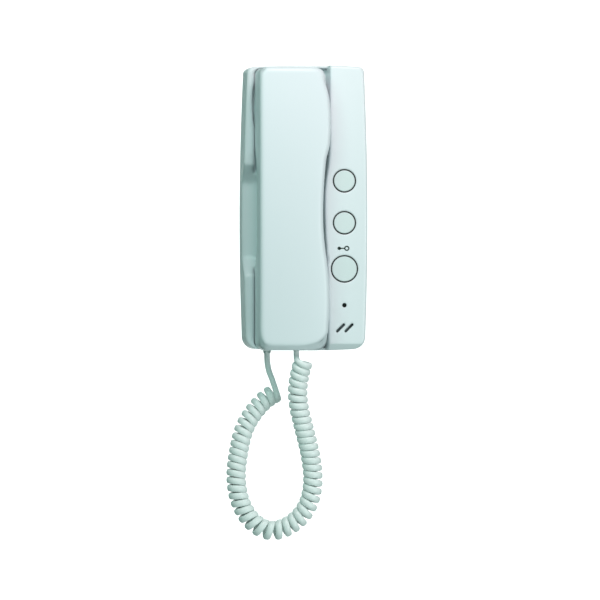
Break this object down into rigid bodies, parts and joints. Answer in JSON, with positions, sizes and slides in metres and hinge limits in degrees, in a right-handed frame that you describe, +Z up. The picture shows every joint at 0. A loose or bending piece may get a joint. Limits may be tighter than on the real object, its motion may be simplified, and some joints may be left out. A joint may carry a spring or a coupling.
{
  "type": "wall intercom station with handset",
  "caption": "Slim wall-mounted door intercom station: a raised panel with round push buttons beside a cradled handset that hangs on a curly cord.",
  "frame": {"origin": "centre of the bracket's two screw slots, on the wall plane", "axes": "+X to the right as seen from the front, +Z up, front faces -Y, wall at Y = 0"},
  "size_m": [0.1003, 0.0572, 0.3422],
  "materials": {
    "white_plastic": "satin moulded, cool white",
    "grey_green_plastic": "satin moulded, slightly darker than the case",
    "zinc_steel": "bright zinc plate",
    "circuit_laminate": "green solder mask",
    "black_plastic": "moulded",
    "dark_lens": "polished",
    "lamp_epoxy": "cast",
    "foam_rubber": "matte",
    "capsule_steel": "satin",
    "clear_plug_plastic": "clear moulded",
    "cord_vinyl": "smooth vinyl"
  },
  "bodies": {
    "base": {"wall_bracket": "zinc_steel", "rear_case": "white_plastic", "front_case": "white_plastic", "case_screws": "zinc_steel", "main_circuit_board": "circuit_laminate", "main_board_screws": "zinc_steel", "button_switches": "black_plastic", "status_lamp": "lamp_epoxy", "status_lens": "dark_lens", "speaker_gasket": "foam_rubber", "chime_speaker": "capsule_steel", "terminal_board": "circuit_laminate", "terminal_board_screws": "zinc_steel", "terminal_block": "black_plastic", "terminal_screws": "zinc_steel", "hook_switch": "black_plastic", "base_socket": "black_plastic", "base_plug": "clear_plug_plastic", "cord_lead": "cord_vinyl", "cord_curls": "cord_vinyl"},
    "handset": {"handset_front_shell": "white_plastic", "handset_back_shell": "white_plastic", "handset_screws": "zinc_steel", "receiver_gasket": "foam_rubber", "receiver_capsule": "capsule_steel", "microphone_boot": "foam_rubber", "microphone_capsule": "black_plastic", "handset_socket": "black_plastic", "handset_plug": "clear_plug_plastic"},
    "talk_key": {"talk_button": "grey_green_plastic", "talk_contact": "black_plastic"},
    "call_key": {"call_button": "grey_green_plastic", "call_contact": "black_plastic"},
    "door_key": {"door_release_button": "grey_green_plastic", "door_release_contact": "black_plastic"},
    "plunger": {"hook_plunger": "grey_green_plastic"}
  },
  "joints": [
    {"name": "handset_lift", "type": "slide", "parent": "base", "child": "handset", "axis": [0, -1, 0], "range_m": [0, 0.03]},
    {"name": "talk_press", "type": "slide", "parent": "base", "child": "talk_key", "axis": [0, 1, 0], "range_m": [0, 0.0012], "stiffness_N_per_m": 400},
    {"name": "call_press", "type": "slide", "parent": "base", "child": "call_key", "axis": [0, 1, 0], "range_m": [0, 0.0012], "stiffness_N_per_m": 400},
    {"name": "door_release_press", "type": "slide", "parent": "base", "child": "door_key", "axis": [0, 1, 0], "range_m": [0, 0.0012], "stiffness_N_per_m": 400},
    {"name": "plunger_rise", "type": "slide", "parent": "base", "child": "plunger", "axis": [0, -1, 0], "range_m": [0, 0.003]}
  ],
  "couplings": [
    {"joint": "plunger_rise", "follows": "handset_lift", "ratio": 0.1}
  ]
}
